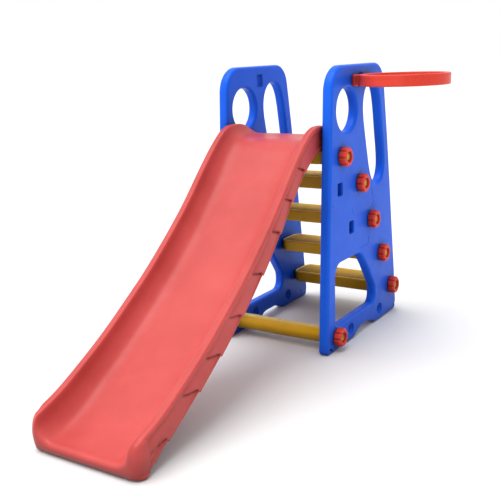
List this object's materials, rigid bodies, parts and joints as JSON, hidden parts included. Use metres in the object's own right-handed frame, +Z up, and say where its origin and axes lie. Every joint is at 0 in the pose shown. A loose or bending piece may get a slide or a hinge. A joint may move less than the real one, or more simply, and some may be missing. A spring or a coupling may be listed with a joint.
{
  "type": "toddler slide",
  "caption": "Free-standing toddler slide with a moulded chute, two cut-out side panels, ribbed treads, hand nuts and a clip-on ball hoop.",
  "frame": {"origin": "bottom centre of the bounding box, on the floor", "axes": "+Z up, +Y from the chute exit towards the ladder, +X towards the panel that carries the hoop"},
  "size_m": [0.7618, 1.545, 0.95],
  "materials": {
    "blue_plastic": "satin blow-moulded polyethylene",
    "red_plastic": "satin blow-moulded polyethylene",
    "yellow_plastic": "satin moulded polyethylene"
  },
  "bodies": {
    "frame": {"chute": "red_plastic", "side_panel_left": "blue_plastic", "side_panel_right": "blue_plastic", "tread_1": "yellow_plastic", "tread_2": "yellow_plastic", "tread_3": "yellow_plastic", "tread_4": "yellow_plastic", "tread_5": "yellow_plastic", "front_cross_tube": "yellow_plastic"},
    "nut_tread_1_left_body": {"nut_tread_1_left": "red_plastic"},
    "nut_tread_1_right_body": {"nut_tread_1_right": "red_plastic"},
    "nut_tread_2_left_body": {"nut_tread_2_left": "red_plastic"},
    "nut_tread_2_right_body": {"nut_tread_2_right": "red_plastic"},
    "nut_tread_3_left_body": {"nut_tread_3_left": "red_plastic"},
    "nut_tread_3_right_body": {"nut_tread_3_right": "red_plastic"},
    "nut_tread_4_left_body": {"nut_tread_4_left": "red_plastic"},
    "nut_tread_4_right_body": {"nut_tread_4_right": "red_plastic"},
    "nut_tread_5_left_body": {"nut_tread_5_left": "red_plastic"},
    "nut_tread_5_right_body": {"nut_tread_5_right": "red_plastic"},
    "nut_tube_left_body": {"nut_tube_left": "red_plastic"},
    "nut_tube_right_body": {"nut_tube_right": "red_plastic"},
    "hoop_body": {"basketball_hoop": "red_plastic"}
  },
  "joints": [
    {"name": "nut_tread_1_left_turn", "type": "hinge", "parent": "frame", "child": "nut_tread_1_left_body", "pos_m": [-0.3639, 0.2945, 0.658], "axis": [-1, 0, 0], "continuous": true},
    {"name": "nut_tread_1_right_turn", "type": "hinge", "parent": "frame", "child": "nut_tread_1_right_body", "pos_m": [0.0889, 0.2945, 0.658], "axis": [1, 0, 0], "continuous": true},
    {"name": "nut_tread_2_left_turn", "type": "hinge", "parent": "frame", "child": "nut_tread_2_left_body", "pos_m": [-0.3639, 0.4315, 0.551], "axis": [-1, 0, 0], "continuous": true},
    {"name": "nut_tread_2_right_turn", "type": "hinge", "parent": "frame", "child": "nut_tread_2_right_body", "pos_m": [0.0889, 0.4315, 0.551], "axis": [1, 0, 0], "continuous": true},
    {"name": "nut_tread_3_left_turn", "type": "hinge", "parent": "frame", "child": "nut_tread_3_left_body", "pos_m": [-0.3639, 0.5245, 0.406], "axis": [-1, 0, 0], "continuous": true},
    {"name": "nut_tread_3_right_turn", "type": "hinge", "parent": "frame", "child": "nut_tread_3_right_body", "pos_m": [0.0889, 0.5245, 0.406], "axis": [1, 0, 0], "continuous": true},
    {"name": "nut_tread_4_left_turn", "type": "hinge", "parent": "frame", "child": "nut_tread_4_left_body", "pos_m": [-0.3639, 0.6155, 0.261], "axis": [-1, 0, 0], "continuous": true},
    {"name": "nut_tread_4_right_turn", "type": "hinge", "parent": "frame", "child": "nut_tread_4_right_body", "pos_m": [0.0889, 0.6155, 0.261], "axis": [1, 0, 0], "continuous": true},
    {"name": "nut_tread_5_left_turn", "type": "hinge", "parent": "frame", "child": "nut_tread_5_left_body", "pos_m": [-0.3639, 0.7075, 0.112], "axis": [-1, 0, 0], "continuous": true},
    {"name": "nut_tread_5_right_turn", "type": "hinge", "parent": "frame", "child": "nut_tread_5_right_body", "pos_m": [0.0889, 0.7075, 0.112], "axis": [1, 0, 0], "continuous": true},
    {"name": "nut_tube_left_turn", "type": "hinge", "parent": "frame", "child": "nut_tube_left_body", "pos_m": [-0.3639, 0.246, 0.0495], "axis": [-1, 0, 0], "continuous": true},
    {"name": "nut_tube_right_turn", "type": "hinge", "parent": "frame", "child": "nut_tube_right_body", "pos_m": [0.0889, 0.246, 0.0495], "axis": [1, 0, 0], "continuous": true},
    {"name": "hoop_pull_out", "type": "slide", "parent": "frame", "child": "hoop_body", "axis": [1, 0, 0], "range_m": [0, 0.03]}
  ]
}
